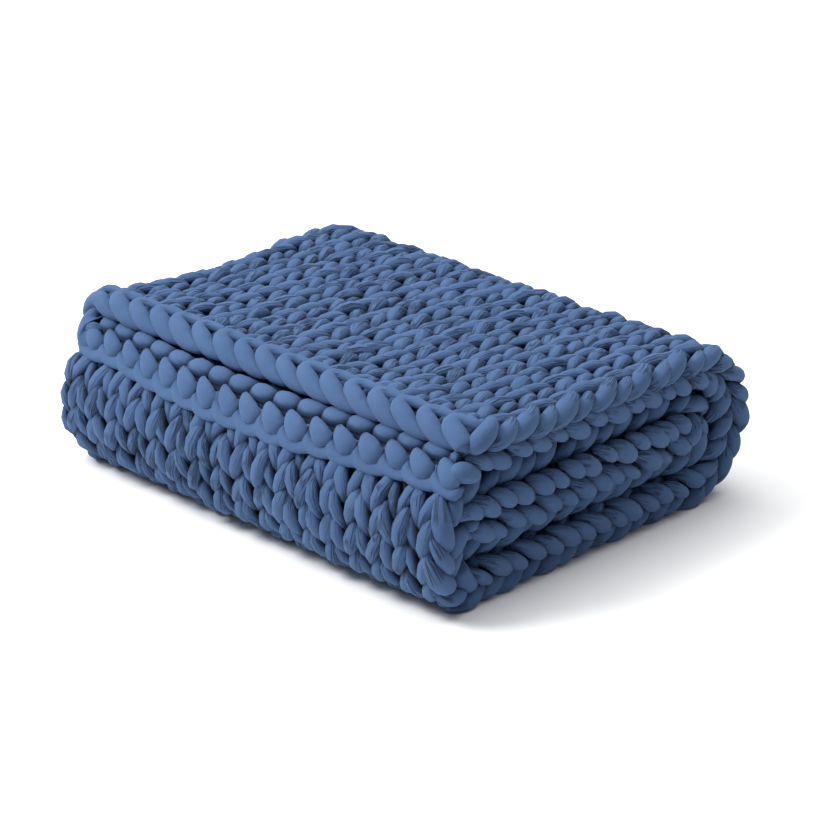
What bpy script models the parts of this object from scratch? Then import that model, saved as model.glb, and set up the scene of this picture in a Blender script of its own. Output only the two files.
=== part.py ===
# Chunky hand-knit weighted blanket, folded in half across its width and then
# rolled flat, as it lies on a shelf or at the foot of a bed.
#
# The whole blanket is ONE piece of fabric, so it is one closed solid:
#   * across, the fabric runs from its selvedge at +X to a hairpin fold at -X and
#     back again to the other selvedge at +X (an outer leaf and an inner leaf);
#   * along, that doubled fabric starts at its free bound-off edge over the front,
#     goes back over the top, down the rear fold, forward under the bottom, up
#     the front fold, back through the middle and once more round to its inner end.
#
# Frame: metres, +Z up, origin at the middle of the footprint on the floor.
# +X is the end where both selvedges show, -Y is the front with the free edges.

import math
from collections import namedtuple

import bpy
import numpy as np

# ---------------------------------------------------------------- sizes
WIDTH = 0.610            # folded width along X (half of a 1.22 m blanket)
DEPTH = 0.492            # folded depth along Y, front fold to rear fold
LEAF_PITCH = 0.0240      # distance from one leaf of fabric to the next
LEAF = 0.0210            # thickness of one leaf in this solid
PAIR = 2.0 * LEAF_PITCH  # pitch of the doubled fabric

TOP_SETBACK = 0.056      # the top leaf's free edge lies this far behind the front fold
SECOND_SHIFT = 0.021     # the inner leaf's free edge sticks out this much more
SECOND_SAG = 0.014       # and by this much again halfway along it
TOP_LIFT = 0.005         # the top leaf's free edge curls up this much
DROOP_RADIUS = 0.076     # the inner leaf's free edge hangs down over the front fold
EDGE_REACH = 0.110       # the lift fades out over this length
SHIFT_REACH = 0.300      # and the inner leaf's head start over this one
END_REACH = 0.012        # the inner end stops this far short of the front fold's wall
HAIRPIN = LEAF_PITCH / 2 # radius of the hairpin fold at -X, to the leaf's middle
RIM = 0.0045             # how far a selvedge or end bulges past its corner line

# The roll, one row for each layer with the fold that follows it.
#   level      height of the layer's middle, in pitches of the doubled fabric
#   radius     radius of the fold's two corners, to the middle of the doubled fabric
#   upright    straight part between the two corners
#   slack      the outer leaf stands off the inner one by this much at the fold
#   out_back   setback of the outer leaf's selvedge from the +X end, on the layer
#   in_back    the same for the inner leaf
#   out_fold   setback of the outer leaf's selvedge round the fold after it
#   in_fold    the same for the inner leaf
Layer = namedtuple("Layer", "name level radius upright slack "
                            "out_back in_back out_fold in_fold")
ROLL = (
    Layer("top",    3.5, 0.0640, 0.0160, 0.006, 0.001, 0.004, 0.008, 0.012),
    Layer("bottom", 0.5, 0.0380, 0.0200, 0.002, 0.014, 0.007, 0.001, 0.010),
    Layer("second", 2.5, 0.0240, 0.0000, 0.000, 0.019, 0.003, 0.012, 0.010),
    Layer("third",  1.5, 0.0000, 0.0000, 0.000, 0.022, 0.006, 0.022, 0.006),
)
CURL_GAP = 0.007         # the inner rear fold stays this far inside the outer one
CENTRE = (0.0046, -0.0020)   # brings the middle of the footprint to the origin

# Unevenness of the two ends and the top: a row for each soft hollow or swell.
#   axis       direction the surface moves in
#   amount     how far it moves at the middle of the patch
#   x, y, z    middle of the patch
#   rx, ry, rz half size of the patch
Swell = namedtuple("Swell", "name axis amount x y z rx ry rz")
SWELLS = (
    Swell("waist of the hairpin end", 0, 0.010, -0.330, -0.030, 0.170, 0.240, 0.150, 0.110),
    Swell("rear corner of that end",  0, -0.013, -0.320, 0.170, 0.160, 0.160, 0.110, 0.100),
    Swell("low part of that end",     0, -0.005, -0.330, -0.120, 0.050, 0.200, 0.130, 0.070),
    Swell("dip behind the top edge",  2, -0.004, 0.080, -0.060, 0.192, 0.200, 0.100, 0.090),
    Swell("dip along the rear",       2, -0.006, 0.060, 0.170, 0.192, 0.240, 0.130, 0.100),
    Swell("hollow of the rear fold",  1, -0.008, 0.020, 0.250, 0.120, 0.240, 0.160, 0.110),
    Swell("soft rear corner",         2, -0.007, 0.300, 0.215, 0.180, 0.170, 0.100, 0.110),
    Swell("front edge wavers back",   1, 0.004, -0.130, -0.200, 0.190, 0.140, 0.070, 0.030),
)

# ---------------------------------------------------------------- stations
EDGE_STEPS = (0.0, 0.03, 0.06, 0.10, 0.15, 0.22, 0.32)   # near the free edge, as parts of the run
RUN_STATIONS = (6, 4, 4, 4)      # straight steps in each layer of the roll
CORNER_STATIONS = 6              # steps round one quarter of a fold
ACROSS_STATIONS = 7              # steps across the flat part of one leaf
HAIRPIN_STATIONS = 6             # steps round the hairpin fold


def roll_path():
    """Middle line of the doubled fabric in the Y-Z plane.

    Returns pieces (kind, s0, length, y, z, heading, turn, row), where heading is
    the direction of travel and turn the angle turned so far at the piece's start.
    A clockwise corner turns the heading down by its length over its radius."""
    front = -DEPTH / 2 + LEAF_PITCH
    rear = DEPTH / 2 - LEAF_PITCH
    ends = []
    for i, row in enumerate(ROLL):
        if i == 0:
            ends.append((-DEPTH / 2 + TOP_SETBACK, rear - row.radius))
        elif i == 1:
            ends.append((rear - ROLL[0].radius, front + row.radius))
        elif i == 2:
            ends.append((front + ROLL[1].radius, rear - PAIR - CURL_GAP - row.radius))
        else:
            ends.append((rear - PAIR - CURL_GAP - ROLL[2].radius,
                         front + LEAF_PITCH + END_REACH))
    pieces = []
    s, turn, heading = 0.0, 0.0, 0.0
    floor = -(LEAF_PITCH - LEAF) / 2
    for i, row in enumerate(ROLL):
        y0, y1 = ends[i]
        z = row.level * PAIR + floor
        pieces.append(("run", s, abs(y1 - y0), y0, z, heading, turn, i))
        s += abs(y1 - y0)
        if row.radius <= 0.0:
            break
        quarter = row.radius * math.pi / 2
        y, r = y1, row.radius
        for corner in (0, 1):
            pieces.append(("corner", s, quarter, y, z, heading, turn, i))
            # centre of a clockwise corner lies to the right of the heading
            cy, cz = y + math.sin(heading) * r, z - math.cos(heading) * r
            heading -= math.pi / 2
            turn += math.pi / 2
            s += quarter
            y, z = cy - math.sin(heading) * r, cz + math.cos(heading) * r
            if corner == 0 and row.upright > 0.0:
                pieces.append(("upright", s, row.upright, y, z, heading, turn, i))
                y += math.cos(heading) * row.upright
                z += math.sin(heading) * row.upright
                s += row.upright
    return pieces, s, turn


PIECES, LENGTH, TURN = roll_path()


def along(sig):
    """Position, outward normal and turned angle of the middle line at sig."""
    sig = np.asarray(sig, float)
    y = np.zeros_like(sig)
    z = np.zeros_like(sig)
    ang = np.zeros_like(sig)
    turn = np.zeros_like(sig)
    for k, (kind, s0, length, y0, z0, heading, t0, row) in enumerate(PIECES):
        last = k == len(PIECES) - 1
        inside = (sig >= s0 if k else sig > -1e9) & ((sig < s0 + length) | last)
        d = sig - s0
        if kind == "corner":
            r = ROLL[row].radius
            a = heading - d / r
            cy, cz = y0 + math.sin(heading) * r, z0 - math.cos(heading) * r
            y = np.where(inside, cy - np.sin(a) * r, y)
            z = np.where(inside, cz + np.cos(a) * r, z)
            ang = np.where(inside, a, ang)
            turn = np.where(inside, t0 + d / r, turn)
        else:
            y = np.where(inside, y0 + math.cos(heading) * d, y)
            z = np.where(inside, z0 + math.sin(heading) * d, z)
            ang = np.where(inside, heading, ang)
            turn = np.where(inside, t0, turn)
    return y, z, -np.sin(ang), np.cos(ang), turn


def ease(x):
    x = np.clip(x, 0.0, 1.0)
    return x * x * (3.0 - 2.0 * x)


def bump(x):
    """1 at 0, falling smoothly to 0 at -1 and 1."""
    x = np.clip(np.abs(x), 0.0, 1.0)
    return (1.0 - x * x) ** 2


def fold_profiles():
    """Knots along the roll for the leaf slack and the selvedge setbacks."""
    s, slack, out_back, in_back = [], [], [], []
    for kind, s0, length, y0, z0, heading, t0, i in PIECES:
        row = ROLL[i]
        if kind == "run":
            inset = min(0.03, length * 0.2)
            for d in (s0 + (0.0 if i == 0 else inset), s0 + length - inset):
                s.append(d)
                slack.append(0.0)
                out_back.append(row.out_back)
                in_back.append(row.in_back)
        elif kind == "corner" and (not s or s[-1] < s0) and heading in (0.0, -math.pi, -2 * math.pi):
            middle = s0 + length + row.upright / 2
            s.append(middle)
            slack.append(row.slack)
            out_back.append(row.out_fold)
            in_back.append(row.in_fold)
    return np.array(s), np.array(slack), np.array(out_back), np.array(in_back)


KNOTS, SLACK, OUT_BACK, IN_BACK = fold_profiles()


def soft(sig, values):
    """Smooth interpolation between the knots along the roll."""
    i = np.clip(np.searchsorted(KNOTS, sig) - 1, 0, len(KNOTS) - 2)
    f = ease((sig - KNOTS[i]) / (KNOTS[i + 1] - KNOTS[i]))
    return values[i] * (1.0 - f) + values[i + 1] * f


FRONT_CREST = -DEPTH / 2 + LEAF_PITCH + ROLL[1].radius   # where the front fold starts down
ROLL_TOP = PIECES[0][2]                   # length of the top layer's run
FLAT = WIDTH - HAIRPIN - LEAF / 2         # flat part of one leaf, across
ACROSS = 2.0 * FLAT + math.pi * HAIRPIN   # selvedge to selvedge


def place(across, sig, w):
    """World position of a point of the fabric.

    across  distance from the outer leaf's selvedge, 0 .. ACROSS
    sig     distance along the roll from the top leaf's free edge, 0 .. LENGTH
    w       height over the leaf's middle, positive on the knit face"""
    across, sig, w = np.broadcast_arrays(*[np.asarray(q, float) for q in (across, sig, w)])
    hinge = -WIDTH / 2 + HAIRPIN + LEAF / 2
    a = np.clip((across - FLAT) / HAIRPIN, 0.0, math.pi)
    inner = 0.5 * (1.0 - np.cos(a))                 # 0 outer leaf .. 1 inner leaf
    h = HAIRPIN * np.cos(a)
    before = np.clip(FLAT - across, 0.0, None)
    after = np.clip(across - FLAT - math.pi * HAIRPIN, 0.0, None)
    half = bump((before + after - FLAT * 0.46) / (FLAT * 0.52))
    sig = sig - (SECOND_SHIFT + SECOND_SAG * half) * inner * bump(sig / SHIFT_REACH)
    y, z, ny, nz, turn = along(sig)
    back = soft(sig, OUT_BACK) * (1.0 - inner) + soft(sig, IN_BACK) * inner
    stretch = (FLAT - back) / FLAT
    x = hinge - HAIRPIN * np.sin(a) + (before + after) * stretch - np.sin(a) * w
    off = h + np.cos(a) * w + soft(sig, SLACK) * (1.0 - inner)
    lift = TOP_LIFT * bump(sig / EDGE_REACH)
    over = np.clip(FRONT_CREST - y, 0.0, DROOP_RADIUS * 0.8)
    over = np.where(sig < ROLL_TOP, over, 0.0)
    droop = DROOP_RADIUS - np.sqrt(DROOP_RADIUS ** 2 - over ** 2)
    off = off + lift * (1.0 - inner) - droop * inner
    p = np.stack([x, y + ny * off, z + nz * off], axis=-1)
    for q in SWELLS:
        m = (bump((p[..., 0] - q.x) / q.rx) * bump((p[..., 1] - q.y) / q.ry)
             * bump((p[..., 2] - q.z) / q.rz))
        p[..., q.axis] += q.amount * m
    return p + np.array([CENTRE[0], CENTRE[1], 0.0])


def stations_across():
    out = [FLAT * k / ACROSS_STATIONS for k in range(ACROSS_STATIONS)]
    out += [FLAT + math.pi * HAIRPIN * k / HAIRPIN_STATIONS for k in range(HAIRPIN_STATIONS)]
    out += [FLAT + math.pi * HAIRPIN + FLAT * k / ACROSS_STATIONS for k in range(ACROSS_STATIONS + 1)]
    return np.array(out)


def stations_along():
    out = []
    for kind, s0, length, y0, z0, heading, t0, i in PIECES:
        if kind == "run" and i == 0:
            out += [length * f for f in EDGE_STEPS]
            out += [length * f for f in (0.48, 0.64, 0.82)]
            continue
        if kind == "run":
            n = RUN_STATIONS[i]
        elif kind == "upright":
            n = 2
        else:
            n = CORNER_STATIONS
        out += [s0 + length * k / n for k in range(n)]
    out.append(LENGTH)
    return np.array(out)


def fabric_mesh():
    """Closed skin of the folded fabric: two faces and a rounded rim."""
    us, vs = stations_across(), stations_along()
    nu, nv = len(us), len(vs)
    U, V = np.meshgrid(us, vs, indexing="ij")
    knit = place(U, V, LEAF / 2)
    purl = place(U, V, -LEAF / 2)
    verts = list(knit.reshape(-1, 3)) + list(purl.reshape(-1, 3))
    A = lambda i, j: i * nv + j
    B = lambda i, j: nu * nv + i * nv + j
    faces = []
    for i in range(nu - 1):
        for j in range(nv - 1):
            faces.append((A(i, j), A(i, j + 1), A(i + 1, j + 1), A(i + 1, j)))
            faces.append((B(i, j), B(i + 1, j), B(i + 1, j + 1), B(i, j + 1)))
    # rim: walk once round the border, with a row of points pushed outwards
    border = [(i, 0) for i in range(nu)] + [(nu - 1, j) for j in range(1, nv)] \
        + [(i, nv - 1) for i in range(nu - 2, -1, -1)] + [(0, j) for j in range(nv - 2, 0, -1)]
    middle = (knit + purl) / 2
    base = len(verts)
    for i, j in border:
        m = middle[i, j]
        push = np.zeros(3)
        if i == 0:
            d = m - middle[1, j]
            push += d / np.linalg.norm(d)
        if i == nu - 1:
            d = m - middle[nu - 2, j]
            push += d / np.linalg.norm(d)
        if j == 0:
            d = m - middle[i, 1]
            push += d / np.linalg.norm(d)
        if j == nv - 1:
            d = m - middle[i, nv - 2]
            push += d / np.linalg.norm(d)
        verts.append(m + push / max(np.linalg.norm(push), 1.0) * RIM)
    n = len(border)
    for k in range(n):
        i0, j0 = border[k]
        i1, j1 = border[(k + 1) % n]
        r0, r1 = base + k, base + (k + 1) % n
        faces.append((A(i0, j0), A(i1, j1), r1, r0))
        faces.append((r0, r1, B(i1, j1), B(i0, j0)))
    return [tuple(float(c) for c in p) for p in verts], faces


def signed_volume(verts, faces):
    total = 0.0
    for f in faces:
        a = np.array(verts[f[0]])
        for k in range(1, len(f) - 1):
            total += float(np.dot(a, np.cross(verts[f[k]], verts[f[k + 1]]))) / 6.0
    return total


def knit_blue():
    mat = bpy.data.materials.new("knit_jersey_blue")
    mat.use_nodes = True
    bsdf = mat.node_tree.nodes["Principled BSDF"]
    bsdf.inputs["Base Color"].default_value = (0.070, 0.145, 0.330, 1.0)
    bsdf.inputs["Roughness"].default_value = 0.90
    bsdf.inputs["Metallic"].default_value = 0.0
    return mat


def main():
    for ob in list(bpy.data.objects):
        bpy.data.objects.remove(ob, do_unlink=True)
    verts, faces = fabric_mesh()
    if signed_volume(verts, faces) < 0.0:
        faces = [tuple(reversed(f)) for f in faces]
    # the underside lies flat on the floor
    verts = [(x, y, 0.0 if z < 0.0004 else z) for x, y, z in verts]
    mesh = bpy.data.meshes.new("blanket")
    mesh.from_pydata(verts, [], faces)
    mesh.validate()
    mesh.update()
    blanket = bpy.data.objects.new("blanket", mesh)
    bpy.context.scene.collection.objects.link(blanket)
    mesh.materials.append(knit_blue())
    mesh.shade_smooth()
    mesh.set_sharp_from_angle(angle=math.radians(40))


main()
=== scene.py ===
import math

import bpy
import numpy as np
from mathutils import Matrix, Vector


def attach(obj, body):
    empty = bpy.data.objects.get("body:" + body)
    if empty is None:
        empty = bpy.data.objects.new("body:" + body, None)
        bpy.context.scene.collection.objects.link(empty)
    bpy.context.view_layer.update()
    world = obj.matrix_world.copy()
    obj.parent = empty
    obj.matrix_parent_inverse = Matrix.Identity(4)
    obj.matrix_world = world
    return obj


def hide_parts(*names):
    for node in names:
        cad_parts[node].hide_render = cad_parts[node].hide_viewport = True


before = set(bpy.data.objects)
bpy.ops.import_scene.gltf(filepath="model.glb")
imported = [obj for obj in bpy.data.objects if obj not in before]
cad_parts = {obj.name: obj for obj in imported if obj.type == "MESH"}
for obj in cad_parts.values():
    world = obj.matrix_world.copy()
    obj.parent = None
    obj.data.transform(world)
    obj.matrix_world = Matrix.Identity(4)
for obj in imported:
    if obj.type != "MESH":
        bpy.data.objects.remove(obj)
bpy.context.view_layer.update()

NODE = "blanket"
RNG = np.random.default_rng(20)

# ------------------------------------------------------------------ camera
AZ, EL = math.radians(45.04), math.radians(22.07)
DIST = 2.801
TARGET = Vector((0.0710, -0.0330, 0.0950))
back = Vector((math.sin(AZ) * math.cos(EL), -math.cos(AZ) * math.cos(EL), math.sin(EL)))
cam_data = bpy.data.cameras.new("camera")
cam_data.lens = 110.0
cam_data.sensor_width = 36.0
cam_data.clip_end = 60.0
cam = bpy.data.objects.new("camera", cam_data)
bpy.context.scene.collection.objects.link(cam)
cam.location = TARGET + back * DIST
cam.rotation_euler = (math.pi / 2 - EL, 0.0, AZ)
bpy.context.scene.camera = cam

# ------------------------------------------------- the folded fabric (as in the CAD)
WIDTH, DEPTH = 0.610, 0.492
LEAF_PITCH, LEAF = 0.0240, 0.0210
PAIR = 2.0 * LEAF_PITCH
TOP_SETBACK, SECOND_SHIFT, SECOND_SAG = 0.056, 0.021, 0.014
TOP_LIFT, DROOP_RADIUS = 0.005, 0.076
EDGE_REACH, SHIFT_REACH, END_REACH = 0.110, 0.300, 0.012
HAIRPIN = LEAF_PITCH / 2
# level, radius, upright, slack, out_back, in_back, out_fold, in_fold
ROLL = ((3.5, 0.0640, 0.0160, 0.006, 0.001, 0.004, 0.008, 0.012),
        (0.5, 0.0380, 0.0200, 0.002, 0.014, 0.007, 0.001, 0.010),
        (2.5, 0.0240, 0.0000, 0.000, 0.019, 0.003, 0.012, 0.010),
        (1.5, 0.0000, 0.0000, 0.000, 0.022, 0.006, 0.022, 0.006))
CURL_GAP = 0.007
CENTRE = (0.0046, -0.0020)
# axis, amount, x, y, z, rx, ry, rz
SWELLS = ((0, 0.010, -0.330, -0.030, 0.170, 0.240, 0.150, 0.110),
          (0, -0.013, -0.320, 0.170, 0.160, 0.160, 0.110, 0.100),
          (0, -0.005, -0.330, -0.120, 0.050, 0.200, 0.130, 0.070),
          (2, -0.004, 0.080, -0.060, 0.192, 0.200, 0.100, 0.090),
          (2, -0.006, 0.060, 0.170, 0.192, 0.240, 0.130, 0.100),
          (1, -0.008, 0.020, 0.250, 0.120, 0.240, 0.160, 0.110),
          (2, -0.007, 0.300, 0.215, 0.180, 0.170, 0.100, 0.110),
          (1, 0.004, -0.130, -0.200, 0.190, 0.140, 0.070, 0.030))


def roll_path():
    front = -DEPTH / 2 + LEAF_PITCH
    rear = DEPTH / 2 - LEAF_PITCH
    ends = ((-DEPTH / 2 + TOP_SETBACK, rear - ROLL[0][1]),
            (rear - ROLL[0][1], front + ROLL[1][1]),
            (front + ROLL[1][1], rear - PAIR - CURL_GAP - ROLL[2][1]),
            (rear - PAIR - CURL_GAP - ROLL[2][1], front + LEAF_PITCH + END_REACH))
    pieces = []
    s, turn, heading = 0.0, 0.0, 0.0
    floor = -(LEAF_PITCH - LEAF) / 2
    for i, row in enumerate(ROLL):
        y0, y1 = ends[i]
        level, r, upright = row[0], row[1], row[2]
        z = level * PAIR + floor
        pieces.append(("run", s, abs(y1 - y0), y0, z, heading, turn, i))
        s += abs(y1 - y0)
        if r <= 0.0:
            break
        quarter = r * math.pi / 2
        y = y1
        for corner in (0, 1):
            pieces.append(("corner", s, quarter, y, z, heading, turn, i))
            cy, cz = y + math.sin(heading) * r, z - math.cos(heading) * r
            heading -= math.pi / 2
            turn += math.pi / 2
            s += quarter
            y, z = cy - math.sin(heading) * r, cz + math.cos(heading) * r
            if corner == 0 and upright > 0.0:
                pieces.append(("upright", s, upright, y, z, heading, turn, i))
                y += math.cos(heading) * upright
                z += math.sin(heading) * upright
                s += upright
    return pieces, s, turn


PIECES, LENGTH, TURN = roll_path()


def along(sig):
    sig = np.asarray(sig, float)
    y, z = np.zeros_like(sig), np.zeros_like(sig)
    ang, turn = np.zeros_like(sig), np.zeros_like(sig)
    for k, (kind, s0, length, y0, z0, heading, t0, row) in enumerate(PIECES):
        last = k == len(PIECES) - 1
        m = (sig >= s0 if k else sig > -1e9) & ((sig < s0 + length) | last)
        if not m.any():
            continue
        d = sig[m] - s0
        if kind == "corner":
            r = ROLL[row][1]
            a = heading - d / r
            cy, cz = y0 + math.sin(heading) * r, z0 - math.cos(heading) * r
            y[m], z[m], ang[m], turn[m] = cy - np.sin(a) * r, cz + np.cos(a) * r, a, t0 + d / r
        else:
            y[m], z[m] = y0 + math.cos(heading) * d, z0 + math.sin(heading) * d
            ang[m], turn[m] = heading, t0
    return y, z, -np.sin(ang), np.cos(ang), turn


def ease(x):
    x = np.clip(x, 0.0, 1.0)
    return x * x * (3.0 - 2.0 * x)


def bump(x):
    x = np.clip(np.abs(x), 0.0, 1.0)
    return (1.0 - x * x) ** 2


def fold_profiles():
    s, slack, out_back, in_back = [], [], [], []
    for kind, s0, length, y0, z0, heading, t0, i in PIECES:
        row = ROLL[i]
        if kind == "run":
            inset = min(0.03, length * 0.2)
            for d in (s0 + (0.0 if i == 0 else inset), s0 + length - inset):
                s.append(d)
                slack.append(0.0)
                out_back.append(row[4])
                in_back.append(row[5])
        elif kind == "corner" and (not s or s[-1] < s0) and heading in (0.0, -math.pi, -2 * math.pi):
            s.append(s0 + length + row[2] / 2)
            slack.append(row[3])
            out_back.append(row[6])
            in_back.append(row[7])
    return np.array(s), np.array(slack), np.array(out_back), np.array(in_back)


KNOTS, SLACK, OUT_BACK, IN_BACK = fold_profiles()


def soft(sig, values):
    i = np.clip(np.searchsorted(KNOTS, sig) - 1, 0, len(KNOTS) - 2)
    f = ease((sig - KNOTS[i]) / (KNOTS[i + 1] - KNOTS[i]))
    return values[i] * (1.0 - f) + values[i + 1] * f


FRONT_CREST = -DEPTH / 2 + LEAF_PITCH + ROLL[1][1]
ROLL_TOP = PIECES[0][2]
FLAT = WIDTH - HAIRPIN - LEAF / 2
ACROSS = 2.0 * FLAT + math.pi * HAIRPIN


def place(across, sig, w):
    across, sig, w = np.broadcast_arrays(*[np.asarray(q, float) for q in (across, sig, w)])
    hinge = -WIDTH / 2 + HAIRPIN + LEAF / 2
    a = np.clip((across - FLAT) / HAIRPIN, 0.0, math.pi)
    inner = 0.5 * (1.0 - np.cos(a))
    h = HAIRPIN * np.cos(a)
    before = np.maximum(FLAT - across, 0.0) * (across < FLAT)
    after = np.maximum(across - FLAT - math.pi * HAIRPIN, 0.0)
    half = bump((before + after - FLAT * 0.46) / (FLAT * 0.52))
    sig = sig - (SECOND_SHIFT + SECOND_SAG * half) * inner * bump(sig / SHIFT_REACH)
    y, z, ny, nz, turn = along(sig)
    setback = soft(sig, OUT_BACK) * (1.0 - inner) + soft(sig, IN_BACK) * inner
    stretch = (FLAT - setback) / FLAT
    x = hinge - HAIRPIN * np.sin(a) + (before + after) * stretch - np.sin(a) * w
    off = h + np.cos(a) * w + soft(sig, SLACK) * (1.0 - inner)
    lift = TOP_LIFT * bump(sig / EDGE_REACH)
    over = np.clip(FRONT_CREST - y, 0.0, DROOP_RADIUS * 0.8)
    over = np.where(sig < ROLL_TOP, over, 0.0)
    droop = DROOP_RADIUS - np.sqrt(DROOP_RADIUS ** 2 - over ** 2)
    off = off + lift * (1.0 - inner) - droop * inner
    p = np.stack([x, y + ny * off, z + nz * off], axis=-1)
    for axis, amount, sx, sy, sz, rx, ry, rz in SWELLS:
        m = bump((p[..., 0] - sx) / rx) * bump((p[..., 1] - sy) / ry) * bump((p[..., 2] - sz) / rz)
        p[..., axis] += amount * m
    return p + np.array([CENTRE[0], CENTRE[1], 0.0])


# Rows of knitting spread evenly along each leaf's own way round the roll.
V_GRID = np.linspace(0.0, LENGTH, 3000)


def sig_table(h):
    goal = V_GRID * (LENGTH + h * TURN) / LENGTH
    sig = goal.copy()
    for _ in range(24):
        sig = goal - h * along(sig)[4]
    return sig


SIG_OUT, SIG_IN = sig_table(HAIRPIN), sig_table(-HAIRPIN)


def extend(v, table):
    s = np.interp(v, V_GRID, table)
    return s + np.minimum(v, 0.0) + np.maximum(v - LENGTH, 0.0)


def to_world(across, v, w):
    a = np.clip((across - FLAT) / HAIRPIN, 0.0, math.pi)
    inner = 0.5 * (1.0 - np.cos(a))
    sig = extend(v, SIG_OUT) * (1.0 - inner) + extend(v, SIG_IN) * inner
    return place(across, sig, w)


# ------------------------------------------------------------------ knitting
WALES, ROWS = 34, 64
SELV = 0.0120                       # the edge stitches start this far in from the selvedge line
P = (ACROSS - 2 * SELV) / WALES     # wale pitch
V0 = 0.0105                         # first row starts here; the edge chain lies before it
R = (LENGTH - V0 - 0.010) / ROWS    # row pitch along the roll's middle

SECOND_START = [p for p in PIECES if p[0] == "run"][2][1]   # where the wrapped inside starts
BOTTOM_START, BOTTOM_END = [p for p in PIECES if p[0] == "run"][1][1], \
    [p for p in PIECES if p[0] == "run"][1][1] + [p for p in PIECES if p[0] == "run"][1][2]


def noise_field(seed, cells):
    """Smooth seeded noise over the fabric, about -1..1."""
    g = np.random.default_rng(seed).normal(0, 1, cells)
    g /= np.abs(g).max()

    def f(s, v):
        x = np.clip(np.asarray(s, float) / ACROSS, 0, 0.9999) * (cells[0] - 1)
        y = np.clip(np.asarray(v, float) / LENGTH, 0, 0.9999) * (cells[1] - 1)
        i, j = x.astype(int), y.astype(int)
        fx, fy = ease(x - i), ease(y - j)
        return (g[i, j] * (1 - fx) * (1 - fy) + g[i + 1, j] * fx * (1 - fy)
                + g[i, j + 1] * (1 - fx) * fy + g[i + 1, j + 1] * fx * fy)
    return f


WAVE_S, WAVE_V, WAVE_W = (noise_field(k, (18, 26)) for k in (1, 2, 3))
FAT, LEAN, SHIFT, RISE = (np.random.default_rng(k).normal(0, 1, (ROWS + 2, 2 * WALES + 4)).clip(-2, 2)
                          for k in (7, 8, 9, 10))


class Skin:
    """Collects closed tubes and makes them one mesh."""

    def __init__(self):
        self.v, self.q, self.t, self.uv, self.pinch, self.n = [], [], [], [], [], 0
        self.painted_shade = []

    def tube(self, centre, ra, rn, pinch, sides=14, seed=0.0, sunk=False):
        """Rings round a centre line given in fabric coordinates (across, v, w).

        ra and rn are the half width and half height of the cross-section, and
        pinch is 0 on the plump part of a stitch and 1 where the yarn is squeezed."""
        d = np.gradient(centre, axis=0)
        d /= np.linalg.norm(d, axis=1, keepdims=True) + 1e-12
        up = np.zeros_like(centre)
        up[:, 2] = 1.0
        nrm = up - (up * d).sum(1, keepdims=True) * d
        nrm /= np.linalg.norm(nrm, axis=1, keepdims=True) + 1e-12
        side = np.cross(d, nrm)
        th = np.arange(sides) * 2 * math.pi / sides
        pts = (centre[:, None, :] + side[:, None, :] * (ra[:, None] * np.cos(th))[..., None]
               + nrm[:, None, :] * (rn[:, None] * np.sin(th))[..., None])
        n = len(centre)
        flat = np.concatenate([pts.reshape(-1, 3), centre[:1], centre[-1:]])
        seg = np.linalg.norm(np.diff(centre, axis=0), axis=1)
        arc = np.concatenate([[0.0], np.cumsum(seg)])
        i = np.arange(n - 1)[:, None] * sides
        j = np.arange(sides)[None, :]
        j2 = (j + 1) % sides
        self.q.append(np.stack([i + j, i + j2, i + sides + j2, i + sides + j], -1).reshape(-1, 4) + self.n)
        k = np.arange(sides)
        k2 = (k + 1) % sides
        self.t.append(np.stack([k2, k, np.full(sides, n * sides)], -1) + self.n)
        self.t.append(np.stack([(n - 1) * sides + k, (n - 1) * sides + k2,
                                np.full(sides, n * sides + 1)], -1) + self.n)
        uv = np.full((len(flat), 2), 0.5)
        uv[:n * sides, 0] = np.repeat(arc, sides) + seed
        uv[:n * sides, 1] = np.tile(np.abs((k / sides * 2 + 0.5) % 2 - 1), n)   # mirrored: no seam
        uv[n * sides:, 0] = seed
        p = np.ones(len(flat))
        p[:n * sides] = np.repeat(pinch, sides)
        self.v.append(flat)
        self.uv.append(uv)
        self.pinch.append(p)
        # painted shade mask: on the knit rows, how low a point lies between the strands; on the other yarn, how
        # much it is pinched. It darkens the colour there
        low = ease((0.0140 - np.abs(flat[:, 2] + SINK)) / 0.0074) if sunk else p * 0.6
        self.painted_shade.append(low)
        self.n += len(flat)

    def build(self, name, material):
        flat = np.concatenate(self.v)
        verts = to_world(flat[:, 0], flat[:, 1], flat[:, 2])
        # the underside presses flat on the floor
        low = verts[:, 2] < 0.004
        verts[low, 2] = 0.0006 + 0.0034 * np.exp((verts[low, 2] - 0.004) / 0.0034)
        faces = np.concatenate(self.q).tolist() + np.concatenate(self.t).tolist()
        mesh = bpy.data.meshes.new(name)
        mesh.from_pydata(verts.tolist(), [], faces)
        uvs = np.concatenate(self.uv)
        layer = mesh.uv_layers.new(name="yarn")
        loops = np.empty(len(mesh.loops), np.int32)
        mesh.loops.foreach_get("vertex_index", loops)
        layer.data.foreach_set("uv", uvs[loops].astype(np.float32).ravel())
        # pinch drives the creases; the second attribute carries the painted shade mask into the material
        for key, values in (("pinch", self.pinch), ("painted_shade", self.painted_shade)):
            att = mesh.attributes.new(key, "FLOAT", "POINT")
            att.data.foreach_set("value", np.concatenate(values).astype(np.float32))
        mesh.materials.append(material)
        mesh.shade_smooth()
        ob = bpy.data.objects.new(name, mesh)
        bpy.context.scene.collection.objects.link(ob)
        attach(ob, "root")
        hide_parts(NODE)
        tris = 2 * sum(len(q) for q in self.q) + sum(len(t) for t in self.t)
        print(name, "triangles", tris)
        return tris


# shape of one stitch
SWING = 0.280          # how far the legs lean, in wale pitches
HALF = 1.02            # half height of a loop, in rows
DIVE = 0.0078          # the loop's depth either side of the leaf's middle
SINK = 0.0022          # the whole loop lies this much towards the purl side
PLUMP, NECK = 0.0090, 0.0032
TILT = 0.0042          # the leg's upper end lies prouder than its lower end
PURL_NECK = 0.0092     # the loops' heads are plumper where the purl side shows


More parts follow.
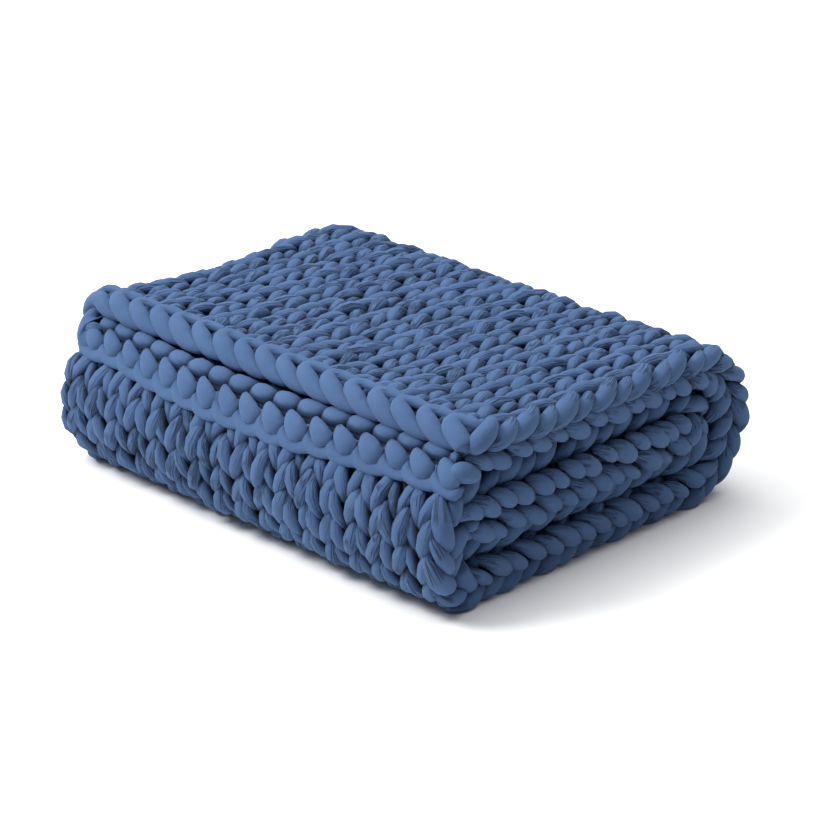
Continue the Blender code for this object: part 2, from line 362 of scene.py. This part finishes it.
def stitch_times(row):
    """Ring positions along a row, closer together where the row shows."""
    v_mid = V0 + (row + 0.5) * R
    sig_out = float(extend(np.array([v_mid]), SIG_OUT)[0])
    out = []
    for i in range(WALES):
        s = SELV + (i + 0.5) * P
        outer = s < FLAT
        edge = s < 0.05 or s > ACROSS - 0.05 or (FLAT - 0.02 < s < FLAT + 0.06)
        if edge or (outer and sig_out < BOTTOM_START + 0.02) \
                or (outer and BOTTOM_END - 0.02 < sig_out < SECOND_START + 0.03) \
                or (not outer and v_mid < 0.13):
            n = 22
        elif outer and sig_out < BOTTOM_END:
            n = 14
        else:
            n = 8
        out.append(i * 2 * math.pi + np.arange(n) * 2 * math.pi / n)
    out.append([WALES * 2 * math.pi])
    return np.concatenate(out), (14 if sig_out < SECOND_START + 0.03 else 10)


def yarn_row(skin, row):
    T, sides = stitch_times(row)
    i = np.clip((T / (2 * math.pi)).astype(int), 0, WALES - 1)
    t = T - math.pi - i * 2 * math.pi        # -pi..pi within the stitch: foot, head at 0, foot
    m = np.sin(t) ** 2                       # 1 at the middle of a leg
    head = 0.5 + 0.5 * np.cos(t)
    leg = np.clip(2 * i + (t > 0), 0, 2 * WALES + 1)
    s0 = SELV + (i + 0.5) * P
    # one leg of each stitch is prouder than the other
    bias = np.where(t < 0, 1.0, -1.0) * ease(m * 1.4) * 0.32
    x = s0 + P * t / (2 * math.pi) + (SWING + 0.045 * LEAN[row, leg] * m) * P * np.sin(2 * t)
    y = V0 + (row + 0.5) * R + HALF * R * np.cos(t)
    w = -DIVE * np.cos(2 * t) - SINK
    x = x + WAVE_S(s0, y) * 0.0045 + 0.0006 * LEAN[row, leg] * m
    y = y + WAVE_V(s0, y) * 0.0040 + 0.0026 * SHIFT[row, leg] * m
    w = w + WAVE_W(s0, y) * 0.0010 + 0.0016 * RISE[row, leg] * m + 0.0016 * bias
    # the purl side shows as rows of plump arcs: feet proud, heads sunk
    purl = ease((s0 - FLAT - 0.02) / 0.04) * (1.0 - ease((y - 0.14) / 0.05))
    y = y - 0.0070 * purl
    if row == 0:                             # the first feet lie hidden behind the bound edge
        foot = (1.0 - head) ** 2 * ease((s0 - FLAT - 0.02) / 0.04)
        purl = purl * (1.0 - foot)
        y, w = y + 0.022 * foot, w + 0.009 * foot
    w = w + 0.0045 * purl * head * (1.0 - m) + TILT * (1.0 - ease((s0 - FLAT) / 0.03)) * np.cos(t)
    neck = NECK + (PURL_NECK - NECK) * purl * (1.0 - 0.45 * head)
    fat = np.sin(np.abs(t) + 0.24 * m) ** 2       # plumpest a little towards the head
    ra = neck + (PLUMP * (1 + 0.10 * FAT[row, leg] + 0.10 * bias) - neck) * fat ** 1.25
    rn = ra * (1.0 - 0.08 * m)
    centre = np.stack([x, y, w], axis=1)
    pinch = (0.08 + 0.92 * (1.0 - m) ** 1.2) * (1.0 - purl)
    skin.tube(centre, ra, rn, pinch, sides=sides, seed=row * 3.17, sunk=True)


def spline(ctrl, per=4):
    """Catmull-Rom curve through the rows of ctrl."""
    c = np.asarray(ctrl, float)
    c = np.vstack([2 * c[0] - c[1], c, 2 * c[-1] - c[-2]])
    out = []
    u = (np.arange(per) / per)[:, None]
    for k in range(1, len(c) - 2):
        a, b, d, e = c[k - 1], c[k], c[k + 1], c[k + 2]
        out.append(0.5 * (2 * b + (d - a) * u + (2 * a - 5 * b + 4 * d - e) * u ** 2
                          + (3 * b - a - 3 * d + e) * u ** 3))
    out.append(c[-2][None])
    return np.vstack(out)


def strand(skin, ctrl, seed, sides=12, per=4, flat=0.95):
    """One length of yarn through rows of (across, v, w, radius, pinch)."""
    c = spline(ctrl, per)
    skin.tube(c[:, :3], c[:, 3].clip(0.002), c[:, 3].clip(0.002) * flat, c[:, 4].clip(0, 1) * 0.36, sides, seed)


# The bound edge. Columns: to the right, back from the edge, up, radius, pinch.
# "Right" is +X and "up" is away from the floor; lengths in metres, right in wale pitches.
KNIT_LOOP = ((1.78, 0.0120, -0.0080, .0038, 1.0), (1.42, 0.0030, -0.0094, .0068, .2),
             (1.02, -0.0022, -0.0086, .0084, .0), (0.66, -0.0034, -0.0050, .0098, .0),
             (0.34, -0.0008, 0.0006, .0106, .0), (0.00, 0.0040, 0.0048, .0104, .0),
             (-0.12, 0.0108, 0.0076, .0092, .0), (0.13, 0.0156, 0.0096, .0074, .1),
             (0.48, 0.0170, 0.0094, .0062, .0), (0.84, 0.0174, 0.0074, .0048, .2),
             (1.14, 0.0170, 0.0044, .0028, 1.0))
KNIT_LIP = ((-0.15, 0.012, -0.0060, .0040, 1.0), (0.10, 0.004, -0.0090, .0058, .3),
            (0.50, 0.0012, -0.0112, .0062, .1), (0.95, 0.001, -0.0116, .0060, .2),
            (1.25, 0.012, -0.0090, .0040, 1.0))
PURL_LIP = ((-0.68, 0.0070, 0.0000, .0036, .4), (-0.58, 0.0005, -0.0044, .0050, .1),
            (-0.38, -0.0040, -0.0088, .0060, .0), (-0.02, -0.0055, -0.0108, .0064, .0),
            (0.45, -0.0046, -0.0110, .0066, .0), (0.92, -0.0010, -0.0112, .0058, .1),
            (1.25, 0.0050, -0.0115, .0040, 1.0))
PURL_KNOB = ((-0.44, 0.0090, 0.0076, .0040, .3), (-0.28, 0.0042, 0.0060, .0074, .0),
             (-0.06, 0.0006, 0.0032, .0092, .0), (0.17, -0.0004, -0.0004, .0092, .0),
             (0.37, 0.0030, -0.0040, .0062, .0))


def edge_stitches(skin, inner_end=False):
    for i in range(WALES + 1):
        s0 = SELV + (i + 0.5) * P
        outer = s0 < FLAT + math.pi * HAIRPIN / 2 + 0.6 * P
        sign = -1.0 if outer else 1.0            # across grows to the left on the outer leaf
        jit = RNG.normal(0, 1, 6).clip(-2, 2)
        shapes = (KNIT_LIP, KNIT_LOOP) if outer else (PURL_LIP, PURL_KNOB)
        for k, shape in enumerate(shapes):
            c = np.array(shape)
            c[:, 3] *= 1 + 0.05 * jit[k]
            if i == 0:                           # the corner stitch is a short round knot
                c[:, 0] = np.minimum(c[:, 0], 0.66)
                c[:, 2] = np.maximum(c[:, 2], -0.0060)
                c[:, 4] = 0.0
            across = s0 + sign * (c[:, 0] - (0.28 if outer else 0.60) + 0.03 * jit[2]) * P
            v = c[:, 1] + 0.0008 * jit[3]
            w = (c[:, 2] + 0.0006 * jit[4]) * (1.0 if outer else -1.0)
            if inner_end:
                v = LENGTH - v
            across = np.clip(across, 0.002, ACROSS - 0.002)
            strand(skin, np.stack([across, v, w, c[:, 3], c[:, 4]], 1), seed=90 + i * 2.3 + k)


# The selvedge chain. Columns: out past the selvedge, along in rows, height, radius, pinch.
SIDE_LEAF = ((-0.0110, -0.72, -0.0085, .0045, 1.0), (-0.0060, -0.50, -0.0090, .0080, .5),
             (-0.0035, -0.12, -0.0035, .0106, .0), (-0.0045, 0.28, 0.0040, .0098, .1),
             (-0.0090, 0.60, 0.0085, .0070, .6), (-0.0150, 0.82, 0.0080, .0045, 1.0))


def selvedge(skin, inner):
    for r in range(ROWS + 1):
        jit = RNG.normal(0, 1, 6).clip(-2, 2)
        c = np.array(SIDE_LEAF)
        small = r % 2 == 1
        if r == 0:
            c[:, 4] = 0.0
        k = 0.86 if small else 1.06
        e = c[:, 0] + (0.0016 if small else -0.0006) + 0.0008 * jit[0]
        v = V0 + (r + 0.0 + c[:, 1] * (0.95 if small else 1.1) + 0.09 * jit[1]) * R
        w = c[:, 2] * (0.9 if small else 1.0) + (-0.0022 if small else 0.0008) + 0.0011 * jit[2]
        across = ACROSS + e if inner else -e
        v = np.clip(v, 0.004, LENGTH - 0.004)
        strand(skin, np.stack([across, v, w, c[:, 3] * k * (1 + 0.08 * jit[3]), c[:, 4]], 1),
               seed=200 + r * 1.9, sides=12, per=4)


def nodes_of(mat):
    mat.use_nodes = True
    nt = mat.node_tree
    return nt, nt.nodes, nt.links, nt.nodes["Principled BSDF"]


def jersey(name):
    """Smooth cotton jersey over a stuffed yarn tube: pinched folds, fine ribs and a soft sheen, with shade
    painted into the colour in the creases and between the strands.
    """
    mat = bpy.data.materials.new(name)
    nt, nodes, links, bsdf = nodes_of(mat)

    def node(kind, **inputs):
        n = nodes.new(kind)
        for k, v in inputs.items():
            n.inputs[k.replace("_", " ")].default_value = v
        return n

    def math_node(op, a, b=None, c=None):
        n = nodes.new("ShaderNodeMath")
        n.operation = op
        for k, q in enumerate((a, b, c)):
            if q is None:
                continue
            if hasattr(q, "links"):
                links.new(q, n.inputs[k])
            else:
                n.inputs[k].default_value = q
        return n.outputs["Value"]

    uv = nodes.new("ShaderNodeUVMap")
    uv.uv_map = "yarn"
    tex = nodes.new("ShaderNodeTexCoord")
    pinch = nodes.new("ShaderNodeAttribute")
    pinch.attribute_name = "pinch"

    # pinched folds that run along the yarn where it is squeezed
    m1 = node("ShaderNodeMapping", Scale=(22.0, 6.5, 1.0))
    links.new(uv.outputs["UV"], m1.inputs["Vector"])
    pulls = node("ShaderNodeTexNoise", Scale=1.0, Detail=2.0, Roughness=0.5, Distortion=0.3)
    links.new(m1.outputs["Vector"], pulls.inputs["Vector"])
    ridge = math_node("ABSOLUTE", math_node("SUBTRACT", pulls.outputs["Fac"], 0.5))
    slit = nodes.new("ShaderNodeMapRange")
    slit.interpolation_type = "SMOOTHSTEP"
    slit.inputs["From Min"].default_value = 0.0
    slit.inputs["From Max"].default_value = 0.060
    slit.inputs["To Min"].default_value = 1.0
    slit.inputs["To Max"].default_value = 0.0
    links.new(ridge, slit.inputs["Value"])
    where = nodes.new("ShaderNodeMapRange")
    where.interpolation_type = "SMOOTHSTEP"
    where.inputs["From Min"].default_value = 0.0
    where.inputs["From Max"].default_value = 0.40
    links.new(pinch.outputs["Fac"], where.inputs["Value"])
    # some stitches are wrinkled all along
    m4 = node("ShaderNodeMapping", Scale=(24.0, 0.6, 1.0))
    links.new(uv.outputs["UV"], m4.inputs["Vector"])
    patchy = node("ShaderNodeTexNoise", Scale=1.0, Detail=0.0)
    links.new(m4.outputs["Vector"], patchy.inputs["Vector"])
    some = nodes.new("ShaderNodeMapRange")
    some.interpolation_type = "SMOOTHSTEP"
    some.inputs["From Min"].default_value = 0.43
    some.inputs["From Max"].default_value = 0.58
    some.inputs["To Max"].default_value = 0.85
    links.new(patchy.outputs["Fac"], some.inputs["Value"])
    knitted = nodes.new("ShaderNodeMapRange")
    knitted.interpolation_type = "SMOOTHSTEP"
    knitted.inputs["From Min"].default_value = 0.01
    knitted.inputs["From Max"].default_value = 0.07
    links.new(pinch.outputs["Fac"], knitted.inputs["Value"])
    extra = math_node("MULTIPLY", some.outputs["Result"], knitted.outputs["Result"])
    crease = math_node("MULTIPLY", slit.outputs["Result"], math_node("MAXIMUM", where.outputs["Result"], extra))

    # fine jersey ribs
    m2 = node("ShaderNodeMapping", Scale=(900.0, 42.0, 1.0))
    links.new(uv.outputs["UV"], m2.inputs["Vector"])
    knit = node("ShaderNodeTexNoise", Scale=1.0, Detail=1.0)
    links.new(m2.outputs["Vector"], knit.inputs["Vector"])

    # lumps of the filling
    m3 = node("ShaderNodeMapping", Scale=(70.0, 3.0, 1.0))
    links.new(uv.outputs["UV"], m3.inputs["Vector"])
    lumps = node("ShaderNodeTexNoise", Scale=1.0, Detail=1.0)
    links.new(m3.outputs["Vector"], lumps.inputs["Vector"])

    # broad unevenness of the dye
    broad = node("ShaderNodeTexNoise", Scale=11.0, Detail=3.0)
    links.new(tex.outputs["Object"], broad.inputs["Vector"])

    ramp = nodes.new("ShaderNodeValToRGB")
    e = ramp.color_ramp.elements
    e[0].position, e[0].color = 0.30, (0.047, 0.092, 0.198, 1.0)
    e[1].position, e[1].color = 0.70, (0.067, 0.123, 0.247, 1.0)
    tone = math_node("MULTIPLY_ADD", broad.outputs["Fac"], 0.6, math_node("MULTIPLY", knit.outputs["Fac"], 0.4))
    links.new(tone, ramp.inputs["Fac"])
    # painted shade: the colour is mixed towards a blackish blue in the creases and where a point lies low
    # between the strands
    painted_shade_mix = nodes.new("ShaderNodeMix")
    painted_shade_mix.data_type = "RGBA"
    painted_shade_mix.inputs[7].default_value = (0.010, 0.022, 0.056, 1.0)
    painted_shade = nodes.new("ShaderNodeMapRange")
    painted_shade.interpolation_type = "SMOOTHSTEP"
    painted_shade.inputs["From Min"].default_value = 0.05
    painted_shade.inputs["From Max"].default_value = 1.00
    painted_shade.inputs["To Max"].default_value = 0.92
    sunk = nodes.new("ShaderNodeAttribute")
    sunk.attribute_name = "painted_shade"
    links.new(sunk.outputs["Fac"], painted_shade.inputs["Value"])
    # painted shade: the crease mask and the sunk-point mask set how far the colour is darkened
    links.new(math_node("MAXIMUM", math_node("MULTIPLY", crease, 0.72), painted_shade.outputs["Result"]), painted_shade_mix.inputs[0])
    links.new(ramp.outputs["Color"], painted_shade_mix.inputs[6])
    links.new(painted_shade_mix.outputs[2], bsdf.inputs["Base Color"])

    height = math_node("MULTIPLY_ADD", crease, -1.0, math_node("MULTIPLY", lumps.outputs["Fac"], 0.55))
    b1 = node("ShaderNodeBump", Strength=0.9, Distance=0.0024)
    links.new(height, b1.inputs["Height"])
    b2 = node("ShaderNodeBump", Strength=0.3, Distance=0.0004)
    links.new(knit.outputs["Fac"], b2.inputs["Height"])
    links.new(b1.outputs["Normal"], b2.inputs["Normal"])
    links.new(b2.outputs["Normal"], bsdf.inputs["Normal"])

    bsdf.inputs["Roughness"].default_value = 0.88
    bsdf.inputs["Specular IOR Level"].default_value = 0.20
    bsdf.inputs["Sheen Weight"].default_value = 0.11
    bsdf.inputs["Sheen Roughness"].default_value = 0.45
    bsdf.inputs["Sheen Tint"].default_value = (0.52, 0.70, 1.0, 1.0)
    return mat


yarn_mat = jersey("jersey_blue")

total = 0
GROUPS = 7
bounds = np.linspace(0, ROWS, GROUPS + 1).round().astype(int)
for g in range(GROUPS):
    skin = Skin()
    for row in range(bounds[g], bounds[g + 1]):
        yarn_row(skin, row)
    total += skin.build(f"knit_rows_{g + 1}", yarn_mat)

for name, job in (("bound_edge", lambda k: edge_stitches(k)),
                  ("cast_on_edge", lambda k: edge_stitches(k, True)),
                  ("selvedge_outer_leaf", lambda k: selvedge(k, False)),
                  ("selvedge_inner_leaf", lambda k: selvedge(k, True))):
    skin = Skin()
    job(skin)
    total += skin.build(name, yarn_mat)
print("all triangles", total)

# ------------------------------------------------------------------ stage
floor_mesh = bpy.data.meshes.new("floor")
S = 9.0
floor_mesh.from_pydata([(-S, -S, 0), (S, -S, 0), (S, S, 0), (-S, S, 0)], [], [(0, 1, 2, 3)])
floor = bpy.data.objects.new("floor", floor_mesh)
bpy.context.scene.collection.objects.link(floor)
fm = bpy.data.materials.new("floor_pale")
nt, nodes, links, bsdf = nodes_of(fm)
bsdf.inputs["Base Color"].default_value = (0.97, 0.97, 0.97, 1.0)
bsdf.inputs["Roughness"].default_value = 0.95
bsdf.inputs["Specular IOR Level"].default_value = 0.1
floor_mesh.materials.append(fm)

world = bpy.data.worlds.new("studio") if bpy.context.scene.world is None else bpy.context.scene.world
bpy.context.scene.world = world
world.use_nodes = True
bg = world.node_tree.nodes.get("Background") or world.node_tree.nodes.new("ShaderNodeBackground")
bg.inputs["Color"].default_value = (1.0, 1.0, 1.0, 1.0)
bg.inputs["Strength"].default_value = 0.23


def area(name, loc, aim, size, watts, color=(1, 1, 1)):
    d = bpy.data.lights.new(name, "AREA")
    d.shape = "RECTANGLE"
    d.size, d.size_y = size
    d.energy = watts
    d.color = color
    o = bpy.data.objects.new(name, d)
    bpy.context.scene.collection.objects.link(o)
    o.location = loc
    o.rotation_euler = (Vector(aim) - Vector(loc)).to_track_quat("-Z", "Y").to_euler()
    return o


area("key", (-1.9, -2.1, 3.2), (0, 0, 0.1), (1.9, 1.9), 196)
area("overhead", (-0.8, 1.2, 5.0), (-0.3, 0.8, 0.0), (6.0, 6.0), 330)

bpy.context.scene.view_settings.view_transform = "Standard"
bpy.context.scene.view_settings.look = "None"
bpy.context.scene.view_settings.exposure = 0.0
bpy.context.scene.view_settings.gamma = 1.0
